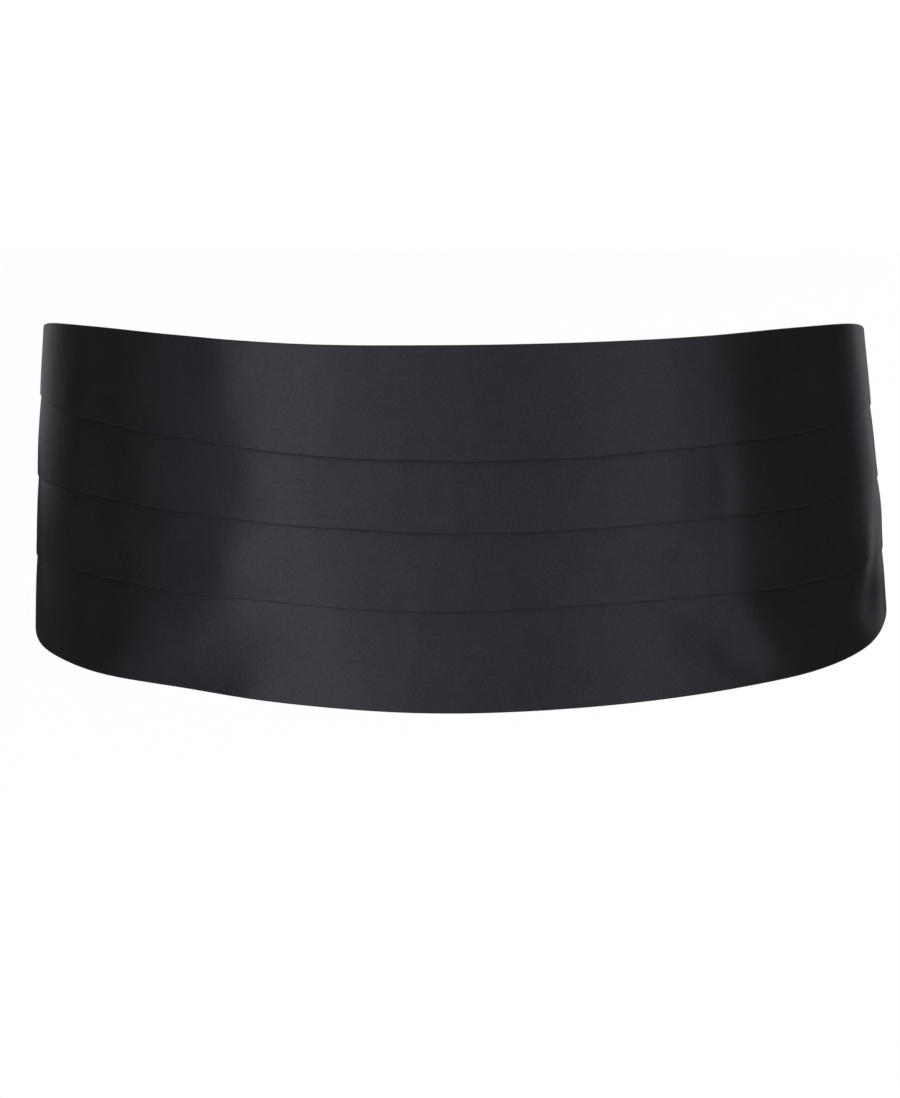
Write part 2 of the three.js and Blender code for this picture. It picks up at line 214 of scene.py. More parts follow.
def relief(s, z):
    """How far the cloth stands out or in of its plain form, mm."""
    out = np.zeros(np.broadcast(s, z).shape)
    for depth, along, up, phase in WAVES:
        out = out + depth * np.sin(2 * np.pi * (s / along + z / up) + phase)
    for g, h, length, width, depth, lean in CREASES:
        ds = s - g - lean * (h - z)
        out = out + depth * np.exp(-(ds / length) ** 2 - ((z - h) / width) ** 2)
    return out * (1 - smooth((np.abs(s) - 300) / 26))


# ------------------------------------------------------- the folded section
def comes_out(u, reach, quick, slow):
    """How far out a band's cloth is at share u of its height, from behind the fold over it to its own reach."""
    return THIRD + DIP * (1 - np.exp(-u / quick)) + (reach - THIRD - DIP) * (1 - (1 - np.minimum(1, u / slow)) ** 2)


def section():
    """The folded cloth's path, from the end of the top hem inside, over the top edge, down through the pleats and round the bottom edge. A row is (upper line, lower line, share, out) on a band, and (line, offset, out) elsewhere."""
    rows = []
    inner = EDGE - TURN
    r, mid = TURN / 2, EDGE - TURN / 2
    foot_mid = mid + FOOT - EDGE
    for dz in (-HEM, -HEM * 0.76, -HEM * 0.52, -HEM * 0.28, -1.4):
        rows.append(("top", dz, inner - 0.05 if dz == -HEM else inner))
    for i in range(8):
        a = math.radians(180 - 180 * i / 7)
        rows.append(("top", -CLOTH / 2 - r + r * math.sin(a), mid + r * math.cos(a)))
    anchors = ["top", "fold1", "fold2", "fold3", "bottom"]
    for band in range(4):
        up, low = anchors[band], anchors[band + 1]
        close = (0.03, 0.075) if band == 0 else (0.008, 0.02, 0.036, 0.056, 0.085)
        for u in close + (0.13, 0.2, 0.29, 0.39, 0.5, 0.61, 0.72, 0.82, 0.9, 0.955, 0.985):
            if band == 0:
                o = EDGE + (FULL - EDGE) * smooth(u / 0.9)
            elif band < 3:
                o = comes_out(u, FULL, 0.028, 0.6)
            else:
                o = comes_out(u, FOOT, 0.024, 0.55)
            rows.append((up, low, u, float(o)))
        if band < 3:
            r2, m2 = (FULL - SECOND) / 2, (FULL + SECOND) / 2
            for i in range(8):  # the folded edge, soft and slightly fuller than the layers above it
                a = math.radians(-180 * i / 7)
                full = 1 + 0.3 * math.sin(math.pi * i / 7)
                rows.append((low, CLOTH / 2 + r2 + r2 * full * math.sin(a), m2 + r2 * full * math.cos(a)))
            for share in (0.3, 0.85):
                rows.append((low, ("lap", share), SECOND))
            r3, m3 = (SECOND - THIRD) / 2, (SECOND + THIRD) / 2
            for i in range(5):
                a = math.radians(180 * i / 4)
                rows.append((low, ("lap", 1.0, r3 * math.sin(a)), m3 + r3 * math.cos(a)))
            for share in (0.85, 0.4, 0.06):
                rows.append((low, ("lap", share), THIRD))
    for i in range(8):
        a = math.radians(-180 * i / 7)
        rows.append(("bottom", CLOTH / 2 + r + r * math.sin(a), foot_mid + r * math.cos(a)))
    for dz in (1.4, HEM * 0.28, HEM * 0.52, HEM * 0.76, HEM):
        lift = smooth((dz - 1.4) / (HEM - 1.4))
        rows.append(("bottom", dz, foot_mid - r - 0.3 * lift))
    return rows


def waver(name, s):
    """The slight unevenness of each folded line's height, as hands press it, mm."""
    k = {"top": 0, "fold1": 1, "fold2": 2, "fold3": 3, "bottom": 0}[name]
    if k == 0:
        return 0 * s
    return 0.14 * np.sin(s / (13.0 + 2.3 * k) + 1.7 * k) + 0.10 * np.sin(s / (5.9 + 0.8 * k) + 2.9 * k)


def panel_rows(s):
    """The path's (z, out) for girth positions s, as arrays of shape (points, len(s))."""
    at = {n: AT[n](s) + waver(n, s) for n in COLUMNS}
    names = ["top", "fold1", "fold2", "fold3", "bottom"]
    laps = {names[k]: np.minimum(UNDERLAP, (at[names[k - 1]] - at[names[k]]) * (0.42 if k == 1 else 0.55)) for k in (1, 2, 3)}
    press = PRESS * smooth((np.abs(s) - 300) / 26)
    tight = 1 - (1 - TIGHT) * smooth((np.abs(s) - 110) / 60)
    zs, outs = [], []
    for row in section():
        if len(row) == 4:
            up, low, u, o = row
            z = at[up] + (at[low] - at[up]) * u
        else:
            name, dz, o = row
            if isinstance(dz, tuple):
                z = at[name] + laps[name] * dz[1] + (dz[2] if len(dz) > 2 else 0)
            else:
                z = at[name] + dz
        out = FULL - (FULL - o) * tight
        if len(row) == 3 and name in ("top", "bottom") and abs(dz) >= 1.4:
            # Near the ends the bands are shorter than the hem, which then lies inside the pleat's layers.
            if name == "top":
                layer, near = THIRD + 0 * s, smooth((at["fold1"] + laps["fold1"] + 5.0 - z) / 3.6)
            else:
                u = (at["fold3"] - z - 2.0) / (at["fold3"] - at["bottom"])
                layer, near = comes_out(np.clip(u, 0, 1), FOOT, 0.024, 0.55), 1.0
            inside = FULL - (FULL - layer) * tight - CLOTH - 0.06
            out = out + (np.minimum(out, inside) - out) * near
        zs.append(z)
        outs.append(out + relief(s, z) - press)
    return np.array(zs), np.array(outs)


# ---------------------------------------------------------------- mesh helpers
def mesh_object(name, verts, faces, uvs=None, mats=(), face_mats=None, smooth_faces=True):
    me = bpy.data.meshes.new(name)
    me.from_pydata([tuple(v) for v in verts], [], [tuple(int(i) for i in f) for f in faces])
    if uvs is not None:
        layer = me.uv_layers.new(name="cloth")
        loops = np.empty(len(me.loops), dtype=np.int32)
        me.loops.foreach_get("vertex_index", loops)
        layer.data.foreach_set("uv", np.asarray(uvs, dtype=np.float32)[loops].ravel())
    for m in mats:
        me.materials.append(m)
    if face_mats is not None:
        me.polygons.foreach_set("material_index", np.asarray(face_mats, dtype=np.int32))
    me.polygons.foreach_set("use_smooth", np.full(len(me.polygons), smooth_faces))
    me.update()
    o = bpy.data.objects.new(name, me)
    bpy.context.scene.collection.objects.link(o)
    return o


def ribbon_sheet(name, a, b, u, v, mats, face_mats=None, close_ends=True):
    """A closed sheet between grids a and b of points (rows along the path, columns along the girth). a is the face side."""
    n, m = a.shape[:2]
    verts = np.concatenate([a.reshape(-1, 3), b.reshape(-1, 3)])
    uv = np.concatenate([np.stack([u, v], -1).reshape(-1, 2)] * 2)
    i, j = np.meshgrid(np.arange(n - 1), np.arange(m - 1), indexing="ij")
    q = (i * m + j).ravel()
    top = np.stack([q, q + m, q + m + 1, q + 1], -1)
    off = n * m
    low = np.stack([q + off, q + 1 + off, q + m + 1 + off, q + m + off], -1)
    sides, side_mat = [], []
    for jj in range(m - 1):
        sides.append((jj, jj + 1, jj + 1 + off, jj + off))
        k = (n - 1) * m + jj
        sides.append((k + 1, k, k + off, k + 1 + off))
    for ii in range(n - 1):
        k = ii * m
        sides.append((k + m, k, k + off, k + m + off))
        k = ii * m + m - 1
        sides.append((k, k + m, k + m + off, k + off))
    faces = np.concatenate([top, low, np.array(sides)])
    fm = np.concatenate([np.zeros(len(top)), np.ones(len(low)), np.ones(len(sides))]).astype(int)
    if len(mats) < 2:
        fm[:] = 0
    o = mesh_object(name, verts, faces, uv, mats, fm)
    bm = bmesh.new()
    bm.from_mesh(o.data)
    bmesh.ops.recalc_face_normals(bm, faces=bm.faces)
    for e in bm.edges:
        if len(e.link_faces) == 2 and e.calc_face_angle(0) > math.radians(55):
            e.smooth = False
    bm.to_mesh(o.data)
    bm.free()
    return o


# ------------------------------------------------------------------- materials
def new_material(name):
    m = bpy.data.materials.new(name)
    m.use_nodes = True
    nt = m.node_tree
    nt.nodes.clear()
    out = nt.nodes.new("ShaderNodeOutputMaterial")
    p = nt.nodes.new("ShaderNodeBsdfPrincipled")
    nt.links.new(p.outputs[0], out.inputs[0])
    return m, nt, p


def node(nt, kind, **values):
    n = nt.nodes.new(kind)
    for k, v in values.items():
        if k.startswith("in_"):
            n.inputs[int(k[3:])].default_value = v
        else:
            setattr(n, k, v)
    return n


def ramp(nt, value, stops):
    r = nt.nodes.new("ShaderNodeValToRGB")
    e = r.color_ramp.elements
    while len(e) < len(stops):
        e.new(0.5)
    for el, (pos, c) in zip(e, stops):
        el.position = pos
        el.color = (c, c, c, 1) if isinstance(c, (int, float)) else (*c, 1)
    nt.links.new(value, r.inputs[0])
    return r.outputs[0]


def scaled_uv(nt, su, sv):
    """The cloth's own coordinates in metres, stretched by su and sv."""
    uv = node(nt, "ShaderNodeUVMap", uv_map="cloth")
    m = node(nt, "ShaderNodeMapping")
    m.inputs["Scale"].default_value = (su, sv, 1)
    nt.links.new(uv.outputs[0], m.inputs[0])
    return m.outputs[0]


def satin_material(name, face):
    m, nt, p = new_material(name)
    p.inputs["Specular IOR Level"].default_value = 0.45 if face else 0.32
    p.inputs["Specular Tint"].default_value = (0.95, 0.92, 1.0, 1)
    p.inputs["Anisotropic"].default_value = 0.93 if face else 0.1
    p.inputs["Anisotropic Rotation"].default_value = 0.25
    p.inputs["Sheen Weight"].default_value = 0.01 if face else 0.12
    p.inputs["Sheen Roughness"].default_value = 0.35
    p.inputs["Sheen Tint"].default_value = (0.85, 0.82, 1.0, 1)
    tan = node(nt, "ShaderNodeTangent", direction_type="UV_MAP", uv_map="cloth")
    nt.links.new(tan.outputs[0], p.inputs["Tangent"])

    # Cloudy unevenness of the finish, in the cloth's own coordinates.
    cloud = node(nt, "ShaderNodeTexNoise")
    cloud.inputs["Scale"].default_value = 1
    cloud.inputs["Detail"].default_value = 4
    nt.links.new(scaled_uv(nt, 60, 45), cloud.inputs["Vector"])
    # The weave: long warp floats that run up and down, slightly uneven, so the
    # face glitters in specks about a millimetre across.
    float_ = node(nt, "ShaderNodeTexNoise")
    float_.inputs["Scale"].default_value = 1
    float_.inputs["Detail"].default_value = 2.5
    float_.inputs["Roughness"].default_value = 0.6
    nt.links.new(scaled_uv(nt, 900, 560), float_.inputs["Vector"])
    thread = node(nt, "ShaderNodeTexNoise")
    thread.inputs["Scale"].default_value = 1
    thread.inputs["Detail"].default_value = 3
    thread.inputs["Roughness"].default_value = 0.65
    nt.links.new(scaled_uv(nt, 3600, 500), thread.inputs["Vector"])
    mix = node(nt, "ShaderNodeMix", data_type="FLOAT")
    mix.inputs[0].default_value = 0.3
    nt.links.new(float_.outputs[0], mix.inputs[2])
    nt.links.new(thread.outputs[0], mix.inputs[3])

    # Floats that lie flatter than their neighbours gloss more, as specks.
    if face:
        p.inputs["Coat Roughness"].default_value = 0.3
        p.inputs["Coat IOR"].default_value = 1.5
        p.inputs["Coat Tint"].default_value = (1, 1, 1, 1)
        speck = node(nt, "ShaderNodeTexNoise")
        speck.inputs["Scale"].default_value = 1
        speck.inputs["Detail"].default_value = 3
        speck.inputs["Roughness"].default_value = 0.7
        nt.links.new(scaled_uv(nt, 1100, 760), speck.inputs["Vector"])
        patch = node(nt, "ShaderNodeTexNoise")
        patch.inputs["Scale"].default_value = 1
        patch.inputs["Detail"].default_value = 4
        patch.inputs["Roughness"].default_value = 0.6
        nt.links.new(scaled_uv(nt, 210, 150), patch.inputs["Vector"])
        s1 = ramp(nt, speck.outputs[0], [(0.30, 0.06), (0.50, 0.24), (0.62, 0.44), (0.76, 0.95)])
        s2 = ramp(nt, patch.outputs[0], [(0.30, 0.12), (0.70, 0.45)])
        both_s = node(nt, "ShaderNodeMix", data_type="FLOAT")
        both_s.inputs[0].default_value = 0.38
        nt.links.new(s1, both_s.inputs[2])
        nt.links.new(s2, both_s.inputs[3])
        nt.links.new(both_s.outputs[0], p.inputs["Coat Weight"])

    # Base colour: near black with a slight blue-violet cast, a little uneven.
    both = node(nt, "ShaderNodeMix", data_type="FLOAT")
    both.inputs[0].default_value = 0.5
    nt.links.new(cloud.outputs[0], both.inputs[2])
    nt.links.new(mix.outputs[0], both.inputs[3])
    dark, light = ((0.0050, 0.0049, 0.0058), (0.0082, 0.0080, 0.0092)) if face else (
        (0.0160, 0.0157, 0.0175), (0.0275, 0.0270, 0.0300))
    nt.links.new(ramp(nt, both.outputs[0], [(0.3, dark), (0.7, light)]), p.inputs["Base Color"])

    # Roughness: satin face, slightly clouded.
    lo, hi = (0.284, 0.330) if face else (0.58, 0.72)
    r = node(nt, "ShaderNodeMapRange")
    r.inputs[1].default_value, r.inputs[2].default_value = 0.3, 0.7
    r.inputs[3].default_value, r.inputs[4].default_value = lo, hi
    nt.links.new(both.outputs[0], r.inputs[0])
    nt.links.new(r.outputs[0], p.inputs["Roughness"])

    bump = node(nt, "ShaderNodeBump")
    bump.inputs["Strength"].default_value = 1.0
    bump.inputs["Distance"].default_value = 0.00006 if face else 0.0001
    nt.links.new(mix.outputs[0], bump.inputs["Height"])
    soft = node(nt, "ShaderNodeBump")
    soft.inputs["Strength"].default_value = 0.6
    soft.inputs["Distance"].default_value = 0.00025
    nt.links.new(cloud.outputs[0], soft.inputs["Height"])
    nt.links.new(bump.outputs[0], soft.inputs["Normal"])
    nt.links.new(soft.outputs[0], p.inputs["Normal"])
    return m


def webbing_material():
    m, nt, p = new_material("webbing")
    p.inputs["Specular IOR Level"].default_value = 0.3
    p.inputs["Sheen Weight"].default_value = 0.1
    p.inputs["Sheen Roughness"].default_value = 0.5
    # Ribs across the strap, 0.9 mm apart, each of small threads.
    rib = node(nt, "ShaderNodeTexWave", wave_type="BANDS", bands_direction="X", wave_profile="SIN")
    rib.inputs["Scale"].default_value = 1
    rib.inputs["Distortion"].default_value = 0.4
    rib.inputs["Detail"].default_value = 2
    nt.links.new(scaled_uv(nt, 350, 40), rib.inputs["Vector"])
    fine = node(nt, "ShaderNodeTexNoise")
    fine.inputs["Scale"].default_value = 1
    fine.inputs["Detail"].default_value = 3
    nt.links.new(scaled_uv(nt, 900, 2400), fine.inputs["Vector"])
    mix = node(nt, "ShaderNodeMix", data_type="FLOAT")
    mix.inputs[0].default_value = 0.35
    nt.links.new(rib.outputs[1], mix.inputs[2])
    nt.links.new(fine.outputs[0], mix.inputs[3])
    nt.links.new(ramp(nt, mix.outputs[0], [(0.15, (0.009, 0.009, 0.0098)), (0.85, (0.032, 0.0315, 0.0345))]),
                 p.inputs["Base Color"])
    r = node(nt, "ShaderNodeMapRange")
    r.inputs[3].default_value, r.inputs[4].default_value = 0.82, 0.62
    nt.links.new(mix.outputs[0], r.inputs[0])
    nt.links.new(r.outputs[0], p.inputs["Roughness"])
    b = node(nt, "ShaderNodeBump")
    b.inputs["Strength"].default_value = 0.8
    b.inputs["Distance"].default_value = 0.00018
    nt.links.new(mix.outputs[0], b.inputs["Height"])
    nt.links.new(b.outputs[0], p.inputs["Normal"])
    return m


def metal_material():
    m, nt, p = new_material("black_metal")
    p.inputs["Metallic"].default_value = 0.0
    p.inputs["Specular IOR Level"].default_value = 0.55
    p.inputs["Coat Weight"].default_value = 0.35
    p.inputs["Coat Roughness"].default_value = 0.12
    co = node(nt, "ShaderNodeTexCoord")
    n1 = node(nt, "ShaderNodeTexNoise")
    n1.inputs["Scale"].default_value = 900
    n1.inputs["Detail"].default_value = 4
    nt.links.new(co.outputs["Object"], n1.inputs["Vector"])
    nt.links.new(ramp(nt, n1.outputs[0], [(0.35, (0.010, 0.010, 0.011)), (0.75, (0.022, 0.022, 0.024))]),
                 p.inputs["Base Color"])
    # Roughness a little uneven, from the same noise.
    r = node(nt, "ShaderNodeMapRange")
    r.inputs[3].default_value, r.inputs[4].default_value = 0.22, 0.4
    nt.links.new(n1.outputs[0], r.inputs[0])
    nt.links.new(r.outputs[0], p.inputs["Roughness"])
    b = node(nt, "ShaderNodeBump")
    b.inputs["Strength"].default_value = 0.25
    b.inputs["Distance"].default_value = 0.00003
    nt.links.new(n1.outputs[0], b.inputs["Height"])
    nt.links.new(b.outputs[0], p.inputs["Normal"])
    return m


def thread_material():
    m, nt, p = new_material("thread")
    p.inputs["Specular IOR Level"].default_value = 0.4
    p.inputs["Sheen Weight"].default_value = 0.1
    co = node(nt, "ShaderNodeTexCoord")
    n1 = node(nt, "ShaderNodeTexNoise")
    n1.inputs["Scale"].default_value = 3000
    nt.links.new(co.outputs["Object"], n1.inputs["Vector"])
    nt.links.new(ramp(nt, n1.outputs[0], [(0.3, (0.008, 0.008, 0.009)), (0.7, (0.02, 0.02, 0.023))]),
                 p.inputs["Base Color"])
    r = node(nt, "ShaderNodeMapRange")
    r.inputs[3].default_value, r.inputs[4].default_value = 0.45, 0.6
    nt.links.new(n1.outputs[0], r.inputs[0])
    nt.links.new(r.outputs[0], p.inputs["Roughness"])
    return m


SATIN = satin_material("satin_face", True)
SATIN_BACK = satin_material("satin_reverse", False)
WEBBING = webbing_material()
METAL = metal_material()
THREAD = thread_material()


# ------------------------------------------------------------ the pleated front
def offset_section(z, out, t):
    """Moves each column's path by t along its own normal in (z, out)."""
    dz, do = np.gradient(z, axis=0), np.gradient(out, axis=0)
    ln = np.hypot(dz, do)
    # walking down the outer face (dz < 0), the face side is outwards
    return z + t * do / ln, out - t * dz / ln


def pleated_front():
    s = np.linspace(-PANEL_END, PANEL_END, GIRTH_STEPS + 1)
    z, out = panel_rows(s)
    step = np.hypot(np.diff(z, axis=0), np.diff(out, axis=0))
    v = np.concatenate([np.zeros((1, len(s))), np.cumsum(step, axis=0)])
    u = np.broadcast_to(s, z.shape)
    za, oa = offset_section(z, out, PLY / 2)
    zb, ob = offset_section(z, out, -PLY / 2)
    a, b = wrap(s, za, oa), wrap(s, zb, ob)
    o = ribbon_sheet("pleated_satin", a, b, u * MM, v * MM, [SATIN, SATIN_BACK])
    return o, float(v[-1].max())


front, cut_height = pleated_front()
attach(front, "root")
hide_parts("pleated_front")
print("cut height of the pleated panel, mm:", round(cut_height, 1))


# ------------------------------------------------------------- the turned ends
STRIP = 10.0


def turned_end(side):
    """The panel's end, turned in round all its layers: a strip on the outside and the inside."""
    outer = FULL - PRESS + CLOTH + 0.04
    inner = FULL - (FULL - THIRD) * TIGHT - PRESS - 1.5 * CLOTH - 0.22
    r = (outer - inner) / 2
    path = [(PANEL_END - STRIP + STRIP * i / 8, outer) for i in range(9)]
    path += [(PANEL_END + r * 0.85 * math.cos(a), (outer + inner) / 2 + r * math.sin(a))
             for a in (math.radians(90 - 180 * i / 12) for i in range(1, 12))]
    path += [(PANEL_END - STRIP * i / 8, inner) for i in range(9)]
    path = np.array(path)
    t = 0.26
    d = np.gradient(path, axis=0)
    ln = np.hypot(d[:, 0], d[:, 1])
    nrm = np.stack([-d[:, 1] / ln, d[:, 0] / ln], -1)  # outwards on the first leg
    n = 30
    w = np.linspace(0, 1, n + 1)
    grids = []
    for k in (0.5, -0.5):
        q = path + nrm * t * k
        s = q[:, 0][:, None] * side + 0 * w[None, :]
        up, low = AT["top"](q[:, 0] * side) - 0.3, AT["bottom"](q[:, 0] * side) + 0.3
        z = up[:, None] + (low - up)[:, None] * w[None, :]
        grids.append(wrap(s, z, q[:, 1][:, None] + 0 * w[None, :]))
    length = np.concatenate([[0], np.cumsum(np.hypot(*np.diff(path, axis=0).T))])
    u = np.broadcast_to((length * MM)[:, None], grids[0].shape[:2])
    v = np.broadcast_to((w * 55 * MM)[None, :], grids[0].shape[:2])
    return ribbon_sheet("turned_end_" + ("right" if side > 0 else "left"), grids[0], grids[1], u, v, [SATIN])


ends = [turned_end(-1), turned_end(1)]
for o in ends:
    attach(o, "root")

# ------------------------------------------------------------------ the straps
STRAP_W, STRAP_T, STRAP_Z = 34.0, 1.0, 4.0
STRAP_OFFSET, SEAM = -0.8, 0.3
LAYER = STRAP_T + SEAM
FASTENER_Y = 0.8
TAIL, SEWN_BACK = 62.0, 24.0
STRAP_START = HALF_GIRTH - (PANEL_END - 12.0)
SLIDE = {"from": 2.0, "to": 26.0, "half": 21.0, "thick": 1.6, "bar": 3.0, "slot": 18.3}
SLIDE_MID = 14.0
RING = {"from": -15.1, "to": -3.9, "half": 20.5, "thick": 2.2, "bar": 2.2, "slot": 17.8}
RING_TURN = 2.2


def turn(cx, cy, r, a0, a1, n):
    return [(cx + r * math.cos(math.radians(a0 + (a1 - a0) * i / n)),
             cy + r * math.sin(math.radians(a0 + (a1 - a0) * i / n))) for i in range(n + 1)]


def run(x0, x1, out, step):
    n = max(1, round(abs(x1 - x0) / step))
    return [(x0 + (x1 - x0) * i / n, out) for i in range(n + 1)]


def slide_path():
    y0, ps = FASTENER_Y, SLIDE["thick"] / 2 + SEAM + STRAP_T / 2
    under, back = STRAP_OFFSET, STRAP_OFFSET - LAYER
    r = (y0 + ps - back) / 2
    return (run(STRAP_START, SLIDE["to"] + 2, under, 8)
            + [(SLIDE["to"] - SLIDE["bar"] - 1.3, under + 0.1), (SLIDE["to"] - SLIDE["bar"] - 3.2, y0 - 0.2),
               (SLIDE_MID + 3.4, y0 + ps - 0.35), (SLIDE_MID + 1.6, y0 + ps)]
            + turn(SLIDE_MID - 1.2, y0 + ps - r, r, 90, 270, 8)
            + run(SLIDE_MID + 4, SLIDE_MID + TAIL, back, 8))


def ring_path():
    y0 = FASTENER_Y
    bar = -RING["from"] - RING["bar"] / 2
    over = STRAP_OFFSET + LAYER - 0.2
    back = over - LAYER
    return (run(STRAP_START, bar + SEWN_BACK + 14, STRAP_OFFSET, 8)
            + [(bar + SEWN_BACK + 5, STRAP_OFFSET + (over - STRAP_OFFSET) * 0.75)]
            + run(bar + SEWN_BACK, bar + 7, over, 6)
            + [(bar + 4.2, over + 0.7), (bar + 2, y0 + RING_TURN - 0.3)]
            + turn(bar, y0, RING_TURN, 90, 270, 8)
            + [(bar + 2.2, y0 - RING_TURN + 0.1), (bar + 5, back)]
            + run(bar + 8, bar + SEWN_BACK, back, 6))


def chaikin(p, rounds=2):
    p = np.array(p, dtype=float)
    for _ in range(rounds):
        q = [p[0]]
        for a, b in zip(p[:-1], p[1:]):
            q += [a * 0.75 + b * 0.25, a * 0.25 + b * 0.75]
        q.append(p[-1])
        p = np.array(q)
    return p


def resample(p, step):
    d = np.concatenate([[0], np.cumsum(np.hypot(*np.diff(p, axis=0).T))])
    n = int(round(d[-1] / step))
    at = np.linspace(0, d[-1], n + 1)
    return np.stack([np.interp(at, d, p[:, 0]), np.interp(at, d, p[:, 1])], -1), at


RIB = 0.95  # from one rib of the webbing to the next
RIB_HIGH = 0.055


def strap(name, path, side):
    p, at = resample(chaikin(path), RIB / 4)
    d = np.gradient(p, axis=0)
    ln = np.hypot(d[:, 0], d[:, 1])
    nrm = np.stack([-d[:, 1] / ln, d[:, 0] / ln], -1)
    w = np.array([-1, -0.985, -0.95, -0.9, -0.82, -0.6, -0.35, -0.1, 0.1, 0.35, 0.6, 0.82, 0.9, 0.95, 0.985, 1.0])
    z = STRAP_Z + w * STRAP_W / 2
    edge = np.clip((np.abs(w) * STRAP_W / 2 - (STRAP_W / 2 - 1.6)) / 1.6, 0, 1)
    half = (STRAP_T / 2 - 0.03) * np.sqrt(1 - 0.8 * edge ** 2)
    ribs = RIB_HIGH * (np.cos(2 * np.pi * at / RIB) - 1) * 0.5
    ribs_b = RIB_HIGH * (np.cos(2 * np.pi * at / RIB + np.pi) - 1) * 0.5
    # soft unevenness, as a worn strap has
    slack = 0.10 * np.sin(at / 17.0 + 1.0) * np.clip((p[:, 0] - 34) / 20, 0, 1) * np.clip((96 - p[:, 0]) / 12, 0, 1)
    grids = []
    for k, rb in ((1, ribs), (-1, ribs_b)):
        q = half[None, :] + rb[:, None] * (1 - edge[None, :])
        x = p[:, 0][:, None] + nrm[:, 0][:, None] * q * k
        out = p[:, 1][:, None] + nrm[:, 1][:, None] * q * k - slack[:, None] * (k * 0 + 1) * 0.5
        zz = np.broadcast_to(z[None, :], x.shape)
        grids.append(wrap(side * (HALF_GIRTH - x), zz, out))
    u = np.broadcast_to((at * MM)[:, None], grids[0].shape[:2])
    v = np.broadcast_to((z * MM)[None, :], grids[0].shape[:2])
    return ribbon_sheet(name, grids[0], grids[1], u, v, [WEBBING]), float(at[-1])


slide_web, slide_len = strap("webbing_slide", slide_path(), 1)
ring_web, ring_len = strap("webbing_ring", ring_path(), -1)
for o, n, length in ((slide_web, "slide_strap", slide_len), (ring_web, "ring_strap", ring_len)):
    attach(o, "root")
    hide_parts(n)


# --------------------------------------------------------------- the fastener
def rounded(x0, x1, half, r, n=8):
    pts = []
    for cx, cz, a0 in ((x1 - r, -half + r, -90), (x1 - r, half - r, 0), (x0 + r, half - r, 90), (x0 + r, -half + r, 180)):
        for i in range(n + 1):
            a = math.radians(a0 + 90 * i / n)
            pts.append((cx + r * math.cos(a), cz + r * math.sin(a)))
    return pts


def plate(name, spec, slots, bevel):
    """A flat frame with slots and rounded edges, in the X-Z plane."""
    cu = bpy.data.curves.new(name, "CURVE")
    cu.dimensions = "2D"
    cu.fill_mode = "BOTH"
    cu.extrude = (spec["thick"] / 2 - bevel) * MM
    cu.bevel_depth = bevel * MM
    cu.bevel_resolution = 4
    cu.offset = -bevel * MM
    outlines = [rounded(spec["from"], spec["to"], spec["half"], 2.4)]
    outlines += [rounded(a, b, spec["slot"], 0.9) for a, b in slots]
    for pts in outlines:
        sp = cu.splines.new("POLY")
        sp.points.add(len(pts) - 1)
        for q, (x, z) in zip(sp.points, pts):
            q.co = (x * MM, z * MM, 0, 1)
        sp.use_cyclic_u = True
    tmp = bpy.data.objects.new(name + "_curve", cu)
    bpy.context.scene.collection.objects.link(tmp)
    dg = bpy.context.evaluated_depsgraph_get()
    me = bpy.data.meshes.new_from_object(tmp.evaluated_get(dg))
    bpy.data.objects.remove(tmp)
    bm = bmesh.new()
    bm.from_mesh(me)
    bmesh.ops.remove_doubles(bm, verts=bm.verts, dist=1e-6)
    for v in bm.verts:
        v.co = Vector((v.co.x, -v.co.z, v.co.y))
    bmesh.ops.recalc_face_normals(bm, faces=bm.faces)
    for f in bm.faces:
        f.smooth = True
    for e in bm.edges:
        if len(e.link_faces) == 2 and e.calc_face_angle(0) > math.radians(40):
            e.smooth = False
    bm.to_mesh(me)
    bm.free()
    me.name = name
    return me


def hook_tongue():
    """The flat hook on the slide's end, bent round the ring's bar."""
    bar = RING["to"] - RING["bar"] / 2
    line = [(SLIDE["from"] + 2.2, 0), (SLIDE["from"] - 0.6, 0), (SLIDE["from"] - 1.6, 0.7), (SLIDE["from"] - 2.8, 2.1),
            (SLIDE["from"] - 4.0, 2.5)] + turn(bar, 0, 2.5, 90, 270, 10) + [(bar + 2.4, -2.15)]
    p, at = resample(chaikin(line), 0.35)
    d = np.gradient(p, axis=0)
    ln = np.hypot(d[:, 0], d[:, 1])
    nrm = np.stack([-d[:, 1] / ln, d[:, 0] / ln], -1)
    rr = 0.5
    sec = []
    for cx, cn, a0 in ((7 - rr, 0.6 - rr, 0), (-7 + rr, 0.6 - rr, 90), (-7 + rr, -0.6 + rr, 180), (7 - rr, -0.6 + rr, 270)):
        for i in range(5):
            a = math.radians(a0 + 90 * i / 4)
            sec.append((cx + rr * math.cos(a), cn + rr * math.sin(a)))
    sec = np.array(sec)
    verts, faces = [], []
    left = at[-1] - at
    m = len(sec)
    for i in range(len(p)):
        c = min(1.0, left[i] / 3.2)
        narrow = 0.55 + 0.45 * math.sqrt(max(0.0, 1 - (1 - c) ** 2))
        thin = 0.6 + 0.4 * min(1.0, left[i] / 0.9)
        for zc, nn in sec:
            verts.append(((p[i, 0] + nrm[i, 0] * nn * thin) * MM, (p[i, 1] + nrm[i, 1] * nn * thin) * MM, zc * narrow * MM))
    for i in range(len(p) - 1):
        for j in range(m):
            a, b = i * m + j, i * m + (j + 1) % m
            faces.append((a, b, b + m, a + m))
    faces.append(tuple(range(m)))
    faces.append(tuple((len(p) - 1) * m + j for j in reversed(range(m))))
    me = bpy.data.meshes.new("hook_tongue")
    me.from_pydata(verts, [], faces)
    bm = bmesh.new()
    bm.from_mesh(me)
    bmesh.ops.recalc_face_normals(bm, faces=bm.faces)
    for f in bm.faces:
        f.smooth = True
    for e in bm.edges:
        if len(e.link_faces) == 2 and e.calc_face_angle(0) > math.radians(40):
            e.smooth = False
    bm.to_mesh(me)
    bm.free()
    return me


